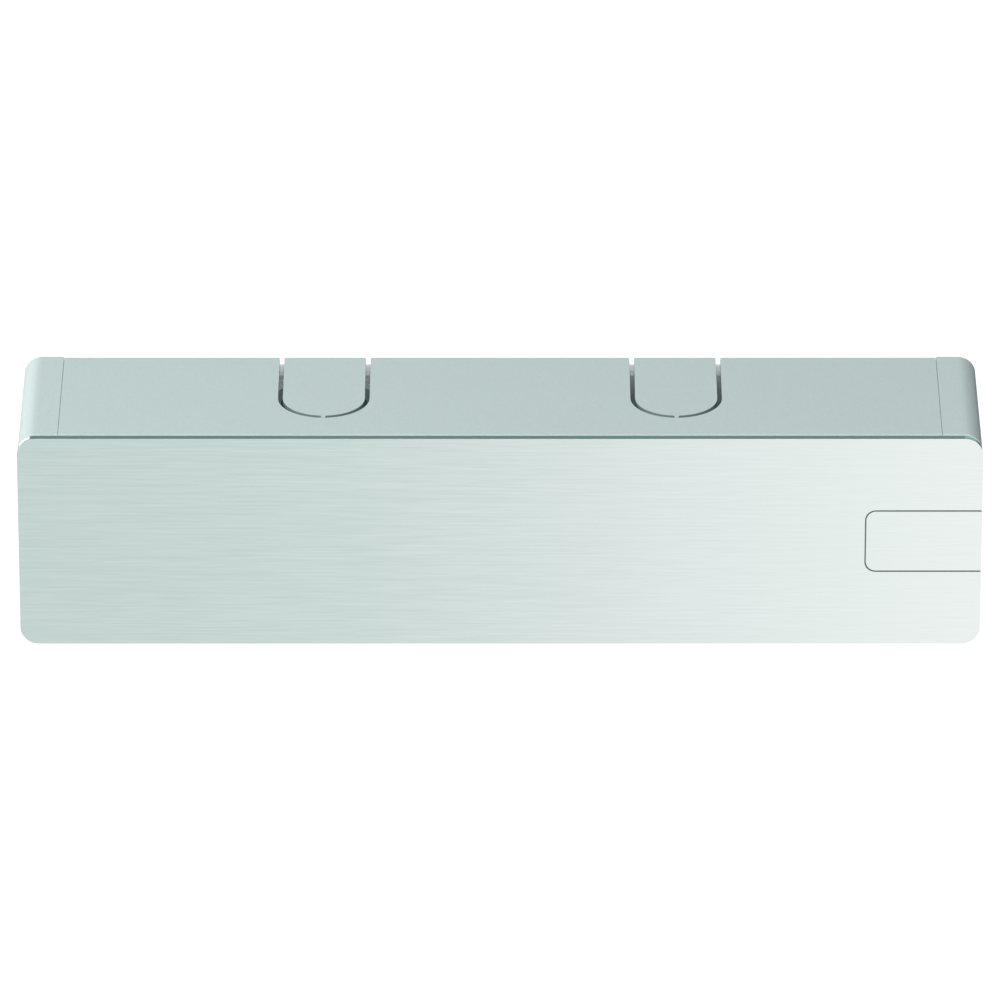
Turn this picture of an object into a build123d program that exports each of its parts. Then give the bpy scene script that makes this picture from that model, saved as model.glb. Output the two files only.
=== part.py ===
from build123d import *
from math import cos, hypot, pi, sin, sqrt
import os

# Overhead door closer in millimetres: X along the door, Y towards the door, Z up.
# The origin is the middle of the mounting plate's back face, which lies on the door.

os.makedirs("parts", exist_ok=True)

# Outside of the cover
cover_length = 281.0
cover_height = 66.5
cover_depth = 57.2
corner_radius = 5.4
edge_round = 0.12

# Front plate with its badge inset, and the carrier behind them
plate_thickness = 0.55
plate_inset = 0.05
plate_edge_round = 0.2
carrier_thickness = 2.53
carrier_setback = 0.25
badge_length = 33.9
badge_height = 19.5
badge_center_z = 0.25
badge_corner_radius = 3.0
badge_line_width = 0.45

# Channel and end caps
channel_wall = 1.6
channel_web = 1.5
channel_back_gap = 1.2
cap_length = 11.85
cap_wall = 2.0
cap_side_inset = 0.18
cap_back_gap = 0.5
seam_width = 0.12
collar_length = 6.0
collar_wall = 0.8
collar_play = 0.1
collar_root = 2.0
collar_back_gap = 0.7

# Arm knock-outs, one on each hand, in the top and the bottom wall
knockout_radius = 13.41
knockout_slot = 1.4
knockout_bridge_inner = 1.6
knockout_bridge_outer = 0.85

# Mounting plate and its fixings
base_end_gap = 4.5
base_side_gap = 1.1
base_thickness = 2.0
base_corner_radius = 3.0
base_rim_depth = 4.7
base_rim_thickness = 1.5
door_hole_radius = 2.75
door_hole_end_gap = 23.0
door_hole_pitch_z = 19.0
body_screw_end_gap = 8.0
body_screw_side_gap = 10.3
body_screw_radius = 2.4
body_screw_head_radius = 4.25
body_screw_head_height = 3.5
body_screw_hex = 4.0
body_screw_tip_gap = 0.3
thread_play = 0.1
clip_tab_thickness = 1.5
clip_tab_height = 10.0
clip_tab_depth = 10.0
clip_pitch_z = 32.0
clip_strip = 0.5
clip_width = 8.0
clip_cover_play = 0.15

# Closer housing
bore_radius = 17.5
housing_end_gap = 18.5
block_reach = 31.65
block_front_gap = 1.05
block_back_depth = 10.5
block_cover_gap = 2.7
block_edge_round = 3.0
spine_height = 44.0
tube_back_gap = 7.09
tube_spine_height = 28.0
flange_end_gap = 2.5
flange_thickness = 2.7
rib_back_depth = 7.0
rib_thickness = 1.4
lug_length = 17.5
lug_height = 16.0
lug_thickness = 6.0
screw_relief_radius = 5.5
screw_relief_depth = 3.2

# Spindle, its bearings and bosses
spindle_end_gap = 88.94
journal_radius = 8.5
spindle_square = 12.0
spindle_cover_gap = 0.3
square_inset = 1.8
arm_thread_radius = 2.5
arm_thread_depth = 14.0
boss_radius = 17.0
boss_cover_gap = 0.8
hub_hole_radius = 12.8
journal_play = 0.4
bearing_floor_wall = 0.9
bearing_length = 5.2
bearing_play = 0.03
needle_radius = 1.25
needle_count = 14
needle_length = 3.6
cage_thickness = 1.2
bearing_cover_gap = 0.2
bearing_cover_thickness = 2.8
seal_thickness = 1.3
seal_outer_radius = 11.2
seal_shaft_play = 0.05
seat_play = 0.02

# Heart cam: the roller centres move outwards evenly with the angle
notch_path_radius = 16.0
tip_path_radius = 25.5
cam_thickness = 12.0
cam_side_play = 0.4
cam_pocket_play = 0.45
cam_key_width = 4.0
cam_key_height = 4.0
cam_key_length = 10.0
cam_steps = 18

# Rollers and pistons
roller_radius = 5.5
roller_thickness = 11.6
roller_pin_radius = 2.5
roller_pin_length = 28.0
roller_play = 0.06
cam_contact_gap = 0.05
piston_play = 0.05
fork_reach = 4.0
fork_gap = 12.6
fork_floor = 6.0
drive_piston_length = 38.5
damping_piston_length = 30.0
drive_pocket_wall = 1.45
drive_pocket_depth = 20.85
damping_pocket_radius = 10.0
damping_pocket_depth = 8.0
ring_groove_width = 2.4
ring_groove_depth = 1.6
drive_groove_offset = 11.7
damping_groove_offset = 18.0

# Check valve in the damping piston
check_hole_radius = 1.1
check_chamber_radius = 2.3
check_chamber_depth = 5.5
check_ball_radius = 1.9
check_ball_gap = 0.05
check_retainer_thickness = 0.5
check_retainer_hole = 1.2

# Springs
outer_spring_play = 1.9
outer_spring_wire = 5.0
outer_spring_turns = 11
spring_nest_gap = 0.6
inner_spring_wire = 3.4
inner_spring_turns = 16
damping_spring_radius = 8.1
damping_spring_wire = 1.2
damping_spring_turns = 5

# End plugs, spring seat and closing force adjuster
plug_step = 2.0
plug_length = 12.0
plug_groove_width = 2.2
plug_groove_depth = 1.5
plug_wrench_hole_radius = 1.5
plug_wrench_hole_depth = 3.0
plug_wrench_inset = 7.5
spring_seat_inset = 26.0
spring_seat_thickness = 8.0
spring_seat_play = 0.7
spring_seat_step_radius = 10.2
spring_seat_step = 2.0
adjuster_rod_radius = 4.9
adjuster_rod_inset = 44.0
adjuster_neck_radius = 5.0
adjuster_collar_radius = 9.0
adjuster_collar_thickness = 2.5
adjuster_thread_play = 0.1
adjuster_neck_play = 0.05
adjuster_end_inset = 1.0
adjuster_hex = 5.0
adjuster_hex_depth = 4.0
thrust_washer_thickness = 1.4
thrust_washer_gap = 0.05
adjuster_groove_depth = 0.9
adjuster_groove_width = 1.4
adjuster_groove_inset = 4.0

# Valve screws, galleries and ports
valve_far_reach = 52.35
valve_near_reach = 40.35
valve_side_inset = 0.5
valve_bore_radius = 3.0
valve_play = 0.05
valve_head_inset = 0.4
valve_seat_depth = 33.5
valve_tip_radius = 1.1
valve_tip_hole_radius = 1.3
valve_tip_reach = 0.8
valve_hex = 2.5
valve_hex_depth = 3.0
valve_groove_depth = 0.8
valve_groove_width = 1.2
valve_groove_inset = 7.0
gallery_depth = 32.0
gallery_radius = 1.3
gallery_reach = 25.65
gallery_ball_radius = 2.0
gallery_ball_inset = 2.2
port_radius = 1.0
spindle_port_reach = 10.35
spring_port_reach = 23.65

# Oil filler screw in the front of the block
filler_reach = 21.65
filler_radius = 3.0
filler_head_radius = 4.5
filler_head_height = 2.0
filler_hex = 4.0
filler_hex_depth = 1.4

# Places worked out from the sizes above
front_y = -cover_depth
plate_back_y = front_y + plate_thickness
shell_front_y = plate_back_y + carrier_thickness
half_length = cover_length / 2
half_height = cover_height / 2
cap_inner_x = half_length - cap_length
cap_side_x = half_length - cap_side_inset
channel_half = cap_inner_x - seam_width
channel_inner_z = half_height - channel_wall
web_back_y = shell_front_y + channel_web
base_end_x = half_length - base_end_gap
base_length = 2 * base_end_x
base_height = 2 * (channel_inner_z - base_side_gap)
door_hole_pitch_x = 2 * (base_end_x - door_hole_end_gap)
body_screw_pitch_x = 2 * (base_end_x - body_screw_end_gap)
body_screw_pitch_z = base_height - 2 * body_screw_side_gap
clip_z = clip_pitch_z / 2
block_front_y = web_back_y + block_front_gap
block_half = channel_inner_z - block_cover_gap
block_height = 2 * block_half
tube_radius = (-block_front_y - tube_back_gap) / 2
bore_y = -tube_back_gap - tube_radius
housing_end_x = half_length - housing_end_gap
housing_length = 2 * housing_end_x
bore_end_x = housing_end_x - plug_length
plug_radius = bore_radius + plug_step
plug_wrench_pitch = 2 * (plug_radius - plug_wrench_inset)
spindle_x = spindle_end_gap - half_length
spindle_end_z = channel_inner_z - spindle_cover_gap
boss_top_z = channel_inner_z - boss_cover_gap
block_right_x = spindle_x + block_reach
path_rise = (tip_path_radius - notch_path_radius) / pi
contact_radius = roller_radius + cam_contact_gap
drive_roller_x = spindle_x + notch_path_radius
damping_roller_x = spindle_x - tip_path_radius
piston_radius = bore_radius - piston_play
drive_pocket_radius = piston_radius - drive_pocket_wall
drive_tail_x = drive_roller_x - fork_reach + drive_piston_length
damping_tail_x = damping_roller_x + fork_reach - damping_piston_length
drive_spring_x = drive_tail_x - drive_pocket_depth
damping_spring_x = damping_tail_x + damping_pocket_depth
outer_spring_radius = bore_radius - outer_spring_play
inner_spring_radius = outer_spring_radius - outer_spring_wire - spring_nest_gap
spring_seat_x = bore_end_x - spring_seat_inset
spring_seat_radius = bore_radius - spring_seat_play
adjuster_rod_start_x = bore_end_x - adjuster_rod_inset
bearing_floor_z = bore_radius + bearing_floor_wall
needle_circle = journal_radius + bearing_play + needle_radius
cup_inner_radius = needle_circle + needle_radius + bearing_play
cover_floor_z = bearing_floor_z + bearing_length + bearing_cover_gap
square_start_z = cover_floor_z + square_inset
square_length = spindle_end_z - square_start_z
valve_x_near_plug = spindle_x - valve_far_reach
valve_x_near_spindle = spindle_x - valve_near_reach
valve_z = (bore_radius + block_half) / 2 - valve_side_inset
gallery_end_x = spindle_x + gallery_reach
spindle_port_x = spindle_x - spindle_port_reach
spring_port_x = spindle_x + spring_port_reach
filler_x = spindle_x + filler_reach


def front_view(y):
    """Plane across the closer at y, looked at from the front: X right, Z up, normal to the front."""
    return Plane.XZ.offset(-y)


def across_bore(x, side=1):
    """Plane across the main bore at x, its origin on the centre line, its normal to one side."""
    return Plane(origin=(x, bore_y, 0), x_dir=(0, 1, 0), z_dir=(side, 0, 0))


def on_spindle(z, side=1):
    """Plane across the spindle at a height, its origin on the spindle's centre line."""
    return Plane(origin=(spindle_x, bore_y, side * z), x_dir=(1, 0, 0), z_dir=(0, 0, side))


def from_front(x, depth, z):
    """Plane at a depth from the door, its normal towards the door."""
    return Plane(origin=(x, -depth, z), x_dir=(1, 0, 0), z_dir=(0, 1, 0))


def disc(plane, radius, length, mode=Mode.ADD):
    """Add or cut a cylinder that stands on a plane."""
    with BuildSketch(plane) as outline:
        Circle(radius)
    extrude(outline.sketch, amount=length, mode=mode)


def ring(plane, outer_radius, inner_radius, length, mode=Mode.ADD):
    """Add or cut a ring that stands on a plane."""
    with BuildSketch(plane) as outline:
        Circle(outer_radius)
        Circle(inner_radius, mode=Mode.SUBTRACT)
    extrude(outline.sketch, amount=length, mode=mode)


def hex_socket(plane, across_flats, depth):
    """Cut a hexagon key socket into the face that a plane lies on."""
    with BuildSketch(plane) as outline:
        RegularPolygon(across_flats / 2, 6, major_radius=False)
    extrude(outline.sketch, amount=depth, mode=Mode.SUBTRACT)


def bar(x_limits, y_limits, z_limits, mode=Mode.ADD):
    """Add or cut a box between three pairs of limits."""
    with Locations((x_limits[0], y_limits[0], z_limits[0])):
        Box(
            x_limits[1] - x_limits[0],
            y_limits[1] - y_limits[0],
            z_limits[1] - z_limits[0],
            align=(Align.MIN, Align.MIN, Align.MIN),
            mode=mode,
        )


def o_ring(plane, groove_radius, outer_radius):
    """A round cord seal that fills its groove up to the outer radius."""
    cord_radius = (outer_radius - groove_radius) / 2
    with BuildPart(plane) as seal:
        Torus(groove_radius + cord_radius, cord_radius - seat_play)
    return seal


# Front plate and badge: one brushed sheet, with the badge cut free by a thin line.
# The badge's face is bare.


def front_sheet():
    """The whole front sheet, before the badge is cut from it."""
    with BuildPart() as sheet:
        with BuildSketch(front_view(plate_back_y)):
            RectangleRounded(
                cover_length - 2 * plate_inset,
                cover_height - 2 * plate_inset,
                corner_radius - plate_inset,
            )
        extrude(amount=plate_thickness)
        fillet(sheet.faces().sort_by(Axis.Y)[0].edges(), plate_edge_round)
    return sheet


def badge_cutter(growth):
    """Badge outline, larger or smaller than its nominal line, open at the sheet's right end."""
    left_x = half_length - badge_length - growth
    with BuildSketch(front_view(plate_back_y)) as outline:
        with Locations((left_x, badge_center_z)):
            Rectangle(cover_length, badge_height + 2 * growth, align=(Align.MIN, Align.CENTER))
        fillet(outline.vertices().sort_by(Axis.X)[:2], badge_corner_radius + growth)
    return outline


with BuildPart() as front_plate:
    add(front_sheet().part)
    extrude(badge_cutter(badge_line_width / 2).sketch, amount=plate_thickness, mode=Mode.SUBTRACT)
front_plate.part.label = "front_plate"
export_step(front_plate.part, "parts/front_plate.step")

with BuildPart() as badge_plate:
    add(front_sheet().part)
    extrude(badge_cutter(-badge_line_width / 2).sketch, amount=plate_thickness, mode=Mode.INTERSECT)
badge_plate.part.label = "badge_plate"
export_step(badge_plate.part, "parts/badge_plate.step")

# Carrier: the layer behind the front plate, set back a little from its outline.

with BuildPart() as plate_carrier:
    with BuildSketch(front_view(shell_front_y)):
        RectangleRounded(
            cover_length - 2 * carrier_setback,
            cover_height - 2 * carrier_setback,
            corner_radius - carrier_setback,
        )
    extrude(amount=carrier_thickness)
plate_carrier.part.label = "plate_carrier"
export_step(plate_carrier.part, "parts/plate_carrier.step")

# Channel: front web, top and bottom wall, open to the door, with the arm knock-outs.

knockout_centers = [(spindle_x, bore_y), (-spindle_x, bore_y)]
tab_radius = knockout_radius - knockout_slot
bridge_taper = (knockout_bridge_inner - knockout_bridge_outer) / 4
bridge_half_back = knockout_bridge_inner / 2 + bridge_taper
bridge_half_front = knockout_bridge_outer / 2 - bridge_taper
bridge_back_y = knockout_slot / 2 - tab_radius
bridge_front_y = -knockout_slot / 2 - knockout_radius
with BuildPart() as cover_channel:
    with BuildSketch(Plane.YZ.offset(-channel_half)):
        with Locations((shell_front_y, 0)):
            Rectangle(
                -channel_back_gap - shell_front_y, cover_height, align=(Align.MIN, Align.CENTER)
            )
        with Locations((web_back_y, 0)):
            Rectangle(
                cover_depth, 2 * channel_inner_z, align=(Align.MIN, Align.CENTER), mode=Mode.SUBTRACT
            )
    extrude(amount=2 * channel_half)
    fillet(cover_channel.edges().filter_by(Axis.X).group_by(Axis.Y)[0], edge_round)
    for inner_face_z in (channel_inner_z, -half_height):
        with BuildSketch(Plane.XY.offset(inner_face_z)):
            with Locations(*knockout_centers):
                Circle(knockout_radius)
                Rectangle(2 * knockout_radius, -bore_y, align=(Align.CENTER, Align.MIN))
                Circle(tab_radius, mode=Mode.SUBTRACT)
                Rectangle(
                    2 * tab_radius,
                    -bore_y,
                    align=(Align.CENTER, Align.MIN),
                    mode=Mode.SUBTRACT,
                )
                Polygon(
                    (-bridge_half_back, bridge_back_y),
                    (bridge_half_back, bridge_back_y),
                    (bridge_half_front, bridge_front_y),
                    (-bridge_half_front, bridge_front_y),
                    align=None,
                    mode=Mode.SUBTRACT,
                )
        extrude(amount=channel_wall, mode=Mode.SUBTRACT)
cover_channel.part.label = "cover_channel"
export_step(cover_channel.part, "parts/cover_channel.step")

# End caps: hollow mouldings, open to the door and to the channel, with a collar that
# reaches into the channel.


def end_cap(side):
    """The end cap of one side, -1 for the left and 1 for the right."""
    inward = side < 0
    cap_depth = -cap_back_gap - shell_front_y
    collar_outer_z = channel_inner_z - collar_play
    collar_front_y = web_back_y + collar_play
    collar_start_x = side * (cap_inner_x - collar_length)
    with BuildPart() as cap:
        with BuildSketch(front_view(shell_front_y)) as outline:
            with Locations((side * (cap_inner_x + cap_side_x) / 2, 0)):
                Rectangle(cap_side_x - cap_inner_x, cover_height)
            fillet(outline.vertices().sort_by(Axis.X, reverse=inward)[-2:], corner_radius)
        extrude(amount=-cap_depth)
        with BuildSketch(front_view(shell_front_y + cap_wall)) as hollow:
            with Locations((side * (cap_side_x - cap_wall - cap_length / 2), 0)):
                Rectangle(cap_length, cover_height - 2 * cap_wall)
            fillet(
                hollow.vertices().sort_by(Axis.X, reverse=inward)[-2:], corner_radius - cap_wall
            )
        extrude(amount=-cap_depth, mode=Mode.SUBTRACT)
        front_edges = cap.edges().group_by(Axis.Y)[0].sort_by(Axis.X, reverse=inward)[1:]
        fillet(front_edges, edge_round)
        with BuildSketch(Plane((collar_start_x, 0, 0), x_dir=(0, 1, 0), z_dir=(side, 0, 0))):
            with Locations((collar_front_y, 0)):
                Rectangle(
                    -collar_back_gap - collar_front_y,
                    2 * collar_outer_z,
                    align=(Align.MIN, Align.CENTER),
                )
            with Locations((collar_front_y + collar_wall, 0)):
                Rectangle(
                    cover_depth,
                    2 * (collar_outer_z - collar_wall),
                    align=(Align.MIN, Align.CENTER),
                    mode=Mode.SUBTRACT,
                )
        extrude(amount=collar_length + collar_root)
    return cap


left_end_cap = end_cap(-1)
left_end_cap.part.label = "left_end_cap"
export_step(left_end_cap.part, "parts/left_end_cap.step")

right_end_cap = end_cap(1)
right_end_cap.part.label = "right_end_cap"
export_step(right_end_cap.part, "parts/right_end_cap.step")

# Mounting plate: steel sheet with door screw holes, threaded holes for the body, bent tabs
# at its ends that hold the cover's clip springs, and a stiffening rim along each long edge.

with BuildPart() as mounting_plate:
    with BuildSketch(front_view(0)):
        RectangleRounded(base_length, base_height, base_corner_radius)
        with GridLocations(door_hole_pitch_x, door_hole_pitch_z, 2, 2):
            Circle(door_hole_radius, mode=Mode.SUBTRACT)
        with GridLocations(body_screw_pitch_x, body_screw_pitch_z, 2, 2):
            Circle(body_screw_radius + thread_play, mode=Mode.SUBTRACT)
    extrude(amount=base_thickness)
    with BuildSketch(front_view(-base_thickness)):
        with GridLocations(base_length - clip_tab_thickness, clip_pitch_z, 2, 2):
            Rectangle(clip_tab_thickness, clip_tab_height)
    extrude(amount=clip_tab_depth - base_thickness)
    rim_length = base_length - 2 * base_corner_radius
    with BuildSketch(front_view(-base_thickness)):
        with GridLocations(0, base_height - base_rim_thickness, 1, 2):
            Rectangle(rim_length, base_rim_thickness)
    extrude(amount=base_rim_depth - base_thickness)
mounting_plate.part.label = "mounting_plate"
export_step(mounting_plate.part, "parts/mounting_plate.step")

# Clip springs: bent strips over the tabs, bulging towards the inside of the end caps.

clip_bulge_x = cap_side_x - cap_wall - clip_cover_play
with BuildPart() as cover_clip_springs:
    for side in (-1, 1):
        for low_z in (-clip_z - clip_width / 2, clip_z - clip_width / 2):
            half_strip = clip_strip / 2
            inner_leg_x = base_end_x - clip_tab_thickness - half_strip
            outer_leg_x = base_end_x + half_strip
            bend_y = -clip_tab_depth - half_strip
            root_y = -base_thickness - 2 * clip_strip
            with BuildSketch(Plane.XY.offset(low_z)):
                with BuildLine():
                    Polyline(
                        (side * inner_leg_x, root_y),
                        (side * inner_leg_x, bend_y),
                        (side * outer_leg_x, bend_y),
                    )
                    Spline(
                        (side * outer_leg_x, bend_y),
                        (side * (clip_bulge_x - half_strip), bend_y / 2 + root_y / 2),
                        (side * outer_leg_x, root_y),
                    )
                trace(line_width=clip_strip)
            extrude(amount=clip_width)
cover_clip_springs.part.label = "cover_clip_springs"
export_step(cover_clip_springs.part, "parts/cover_clip_springs.step")

# Closer housing: a casting with a square block round the spindle, a tube round the
# springs, a thin back flange with a rib in front of it, and lugs for the body screws.

flange_back_y = -base_thickness
flange_half = base_end_x - flange_end_gap
hub_depth = boss_top_z - bearing_floor_z
with BuildPart() as closer_housing:
    block_length = block_right_x + housing_end_x
    with BuildSketch(Plane.YZ.offset(-housing_end_x)) as block_profile:
        with Locations((block_front_y, 0)):
            Rectangle(
                -block_back_depth - block_front_y, block_height, align=(Align.MIN, Align.CENTER)
            )
        fillet(block_profile.vertices().sort_by(Axis.X)[:2], block_edge_round)
    extrude(amount=block_length)
    bar(
        (-housing_end_x, block_right_x),
        (-block_back_depth, flange_back_y),
        (-spine_height / 2, spine_height / 2),
    )
    bar(
        (-housing_end_x, block_right_x),
        (-rib_back_depth - rib_thickness, -rib_back_depth),
        (-block_half, block_half),
    )
    bar(
        (-flange_half, flange_half),
        (flange_back_y - flange_thickness, flange_back_y),
        (-block_half, block_half),
    )
    disc(across_bore(block_right_x), tube_radius, housing_end_x - block_right_x)
    bar(
        (block_right_x, housing_end_x),
        (bore_y + bore_radius, flange_back_y),
        (-tube_spine_height / 2, tube_spine_height / 2),
    )
    lug_middle_x = flange_half - lug_length / 2
    with BuildSketch(front_view(flange_back_y)):
        with GridLocations(2 * lug_middle_x, body_screw_pitch_z, 2, 2):
            Rectangle(lug_length, lug_height)
    extrude(amount=lug_thickness)
    disc(on_spindle(-boss_top_z), boss_radius, 2 * boss_top_z)

    # Main bore and the wider seats of the end plugs
    disc(across_bore(-housing_end_x), bore_radius, housing_length, Mode.SUBTRACT)
    for side in (-1, 1):
        disc(across_bore(side * bore_end_x, side), plug_radius, plug_length, Mode.SUBTRACT)

    # Pocket that the cam turns in, and the spindle's holes above and below it
    cam_pocket_half = cam_thickness / 2 + cam_side_play
    cam_pocket_radius = tip_path_radius - contact_radius + cam_pocket_play
    disc(on_spindle(-cam_pocket_half), cam_pocket_radius, 2 * cam_pocket_half, Mode.SUBTRACT)
    disc(
        on_spindle(-bearing_floor_z),
        journal_radius + journal_play,
        2 * bearing_floor_z,
        Mode.SUBTRACT,
    )
    for side in (-1, 1):
        disc(on_spindle(bearing_floor_z, side), hub_hole_radius, hub_depth, Mode.SUBTRACT)

    # Valve bores, the galleries that they cross, and the ports into the main bore
    for z in (-valve_z, valve_z):
        for x in (valve_x_near_plug, valve_x_near_spindle):
            front_depth = -block_front_y
            disc(
                from_front(x, front_depth, z),
                valve_bore_radius,
                front_depth - valve_seat_depth,
                Mode.SUBTRACT,
            )
            disc(
                from_front(x, valve_seat_depth, z),
                valve_tip_hole_radius,
                valve_seat_depth - gallery_depth + gallery_radius,
                Mode.SUBTRACT,
            )
        gallery_start = Plane((-housing_end_x, -gallery_depth, z), z_dir=(1, 0, 0))
        disc(gallery_start, gallery_radius, gallery_end_x + housing_end_x, Mode.SUBTRACT)
        disc(
            gallery_start,
            gallery_ball_radius,
            gallery_ball_inset + gallery_ball_radius,
            Mode.SUBTRACT,
        )
        for x in (valve_x_near_plug, valve_x_near_spindle, spindle_port_x, spring_port_x):
            port_start = Plane((x, -gallery_depth, z), z_dir=(0, 0, -z))
            disc(port_start, port_radius, valve_z - bore_radius + gallery_radius, Mode.SUBTRACT)

    # Oil filler hole, body screw holes and the reliefs over the door screws
    filler_start = from_front(filler_x, -block_front_y, 0)
    disc(filler_start, filler_radius, bore_y - block_front_y, Mode.SUBTRACT)
    disc(filler_start, filler_head_radius, filler_head_height, Mode.SUBTRACT)
    with BuildSketch(front_view(flange_back_y)):
        with GridLocations(body_screw_pitch_x, body_screw_pitch_z, 2, 2):
            Circle(body_screw_radius + 2 * thread_play)
    extrude(amount=lug_thickness, mode=Mode.SUBTRACT)
    with BuildSketch(front_view(flange_back_y)):
        with GridLocations(door_hole_pitch_x, door_hole_pitch_z, 2, 2):
            Circle(screw_relief_radius)
    extrude(amount=screw_relief_depth, mode=Mode.SUBTRACT)
closer_housing.part.label = "closer_housing"
export_step(closer_housing.part, "parts/closer_housing.step")

# Body fixing screws: pass through the lugs into the mounting plate.

head_depth = base_thickness + lug_thickness
with BuildPart() as body_fixing_screws:
    with BuildSketch(front_view(-head_depth)):
        with GridLocations(body_screw_pitch_x, body_screw_pitch_z, 2, 2):
            Circle(body_screw_head_radius)
    extrude(amount=body_screw_head_height)
    with BuildSketch(front_view(-body_screw_tip_gap)):
        with GridLocations(body_screw_pitch_x, body_screw_pitch_z, 2, 2):
            Circle(body_screw_radius)
    extrude(amount=head_depth - body_screw_tip_gap)
    with BuildSketch(front_view(-head_depth - body_screw_head_height)):
        with GridLocations(body_screw_pitch_x, body_screw_pitch_z, 2, 2):
            RegularPolygon(body_screw_hex / 2, 6, major_radius=False)
    extrude(amount=-body_screw_head_height / 2, mode=Mode.SUBTRACT)
body_fixing_screws.part.label = "body_fixing_screws"
export_step(body_fixing_screws.part, "parts/body_fixing_screws.step")

# End plugs: close the main bore, each with a round seal in a groove and two blind
# holes for a pin wrench.


def end_plug(side):
    """The plug of one end of the main bore, -1 for the left and 1 for the right."""
    groove_middle = bore_end_x + plug_length / 2
    groove_start = groove_middle - plug_groove_width / 2
    plug_outer = plug_radius - seat_play
    with BuildPart() as plug:
        disc(across_bore(side * bore_end_x, side), plug_outer, plug_length)
        ring(
            across_bore(side * groove_start, side),
            plug_outer,
            plug_radius - plug_groove_depth,
            plug_groove_width,
            Mode.SUBTRACT,
        )
        with BuildSketch(across_bore(side * housing_end_x, -side)):
            with GridLocations(plug_wrench_pitch, 0, 2, 1):
                Circle(plug_wrench_hole_radius)
        extrude(amount=plug_wrench_hole_depth, mode=Mode.SUBTRACT)
    return plug


plug_seal_x = bore_end_x + plug_length / 2
plug_seal_floor = plug_radius - plug_groove_depth

damping_end_plug = end_plug(-1)
damping_end_plug.part.label = "damping_end_plug"
export_step(damping_end_plug.part, "parts/damping_end_plug.step")

damping_plug_seal = o_ring(across_bore(-plug_seal_x), plug_seal_floor, plug_radius)
damping_plug_seal.part.label = "damping_plug_seal"
export_step(damping_plug_seal.part, "parts/damping_plug_seal.step")

with BuildPart() as spring_end_plug:
    add(end_plug(1).part)
    disc(
        across_bore(bore_end_x),
        adjuster_neck_radius + adjuster_neck_play,
        plug_length,
        Mode.SUBTRACT,
    )
spring_end_plug.part.label = "spring_end_plug"
export_step(spring_end_plug.part, "parts/spring_end_plug.step")

spring_plug_seal = o_ring(across_bore(plug_seal_x), plug_seal_floor, plug_radius)
spring_plug_seal.part.label = "spring_plug_seal"
export_step(spring_plug_seal.part, "parts/spring_plug_seal.step")

# Spindle bearings: a cup, a cage with its needles, a screwed cover and a shaft seal,
# the same above and below.

for place, side in (("upper", 1), ("lower", -1)):
    with BuildPart() as bearing_cup:
        ring(
            on_spindle(bearing_floor_z, side),
            hub_hole_radius - seat_play,
            cup_inner_radius,
            bearing_length,
        )
    bearing_cup.part.label = f"{place}_bearing_cup"
    export_step(bearing_cup.part, f"parts/{place}_bearing_cup.step")

    cage_length = bearing_length - 2 * bearing_play
    needle_start_z = bearing_floor_z + (bearing_length - needle_length) / 2
    with BuildPart() as needle_cage:
        ring(
            on_spindle(bearing_floor_z + bearing_play, side),
            needle_circle + cage_thickness / 2,
            needle_circle - cage_thickness / 2,
            cage_length,
        )
        with BuildSketch(on_spindle(needle_start_z - bearing_play, side)):
            with PolarLocations(needle_circle, needle_count):
                Circle(needle_radius + bearing_play)
        extrude(amount=needle_length + 2 * bearing_play, mode=Mode.SUBTRACT)
    needle_cage.part.label = f"{place}_needle_cage"
    export_step(needle_cage.part, f"parts/{place}_needle_cage.step")

    with BuildPart() as bearing_needles:
        with BuildSketch(on_spindle(needle_start_z, side)):
            with PolarLocations(needle_circle, needle_count):
                Circle(needle_radius)
        extrude(amount=needle_length)
    bearing_needles.part.label = f"{place}_bearing_needles"
    export_step(bearing_needles.part, f"parts/{place}_bearing_needles.step")

    with BuildPart() as bearing_cover:
        ring(
            on_spindle(cover_floor_z, side),
            hub_hole_radius - seat_play,
            journal_radius + journal_play,
            bearing_cover_thickness,
        )
        disc(
            on_spindle(cover_floor_z, side),
            seal_outer_radius + seat_play,
            seal_thickness + seat_play,
            Mode.SUBTRACT,
        )
    bearing_cover.part.label = f"{place}_bearing_cover"
    export_step(bearing_cover.part, f"parts/{place}_bearing_cover.step")

    with BuildPart() as shaft_seal:
        ring(
            on_spindle(cover_floor_z, side),
            seal_outer_radius,
            journal_radius + seal_shaft_play,
            seal_thickness,
        )
    shaft_seal.part.label = f"{place}_shaft_seal"
    export_step(shaft_seal.part, f"parts/{place}_shaft_seal.step")

# Spindle: one straight journal with a square for the arm and a threaded hole at each
# end, and a keyway for the cam.

key_middle_x = -journal_radius
with BuildPart() as spindle:
    disc(on_spindle(-square_start_z), journal_radius, 2 * square_start_z)
    for side in (-1, 1):
        with BuildSketch(on_spindle(square_start_z, side)):
            Rectangle(spindle_square, spindle_square)
        extrude(amount=square_length)
        thread_start = Plane((spindle_x, bore_y, side * spindle_end_z), z_dir=(0, 0, -side))
        disc(thread_start, arm_thread_radius, arm_thread_depth, Mode.SUBTRACT)
    with BuildSketch(on_spindle(-cam_key_length / 2)):
        with Locations((key_middle_x, 0)):
            Rectangle(cam_key_height, cam_key_width)
    extrude(amount=cam_key_length, mode=Mode.SUBTRACT)
spindle.part.label = "spindle"
export_step(spindle.part, "parts/spindle.step")

with BuildPart() as cam_key:
    with BuildSketch(on_spindle(-cam_key_length / 2)):
        with Locations((key_middle_x, 0)):
            Rectangle(cam_key_height - 2 * seat_play, cam_key_width - 2 * seat_play)
    extrude(amount=cam_key_length)
cam_key.part.label = "cam_key"
export_step(cam_key.part, "parts/cam_key.step")

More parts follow.
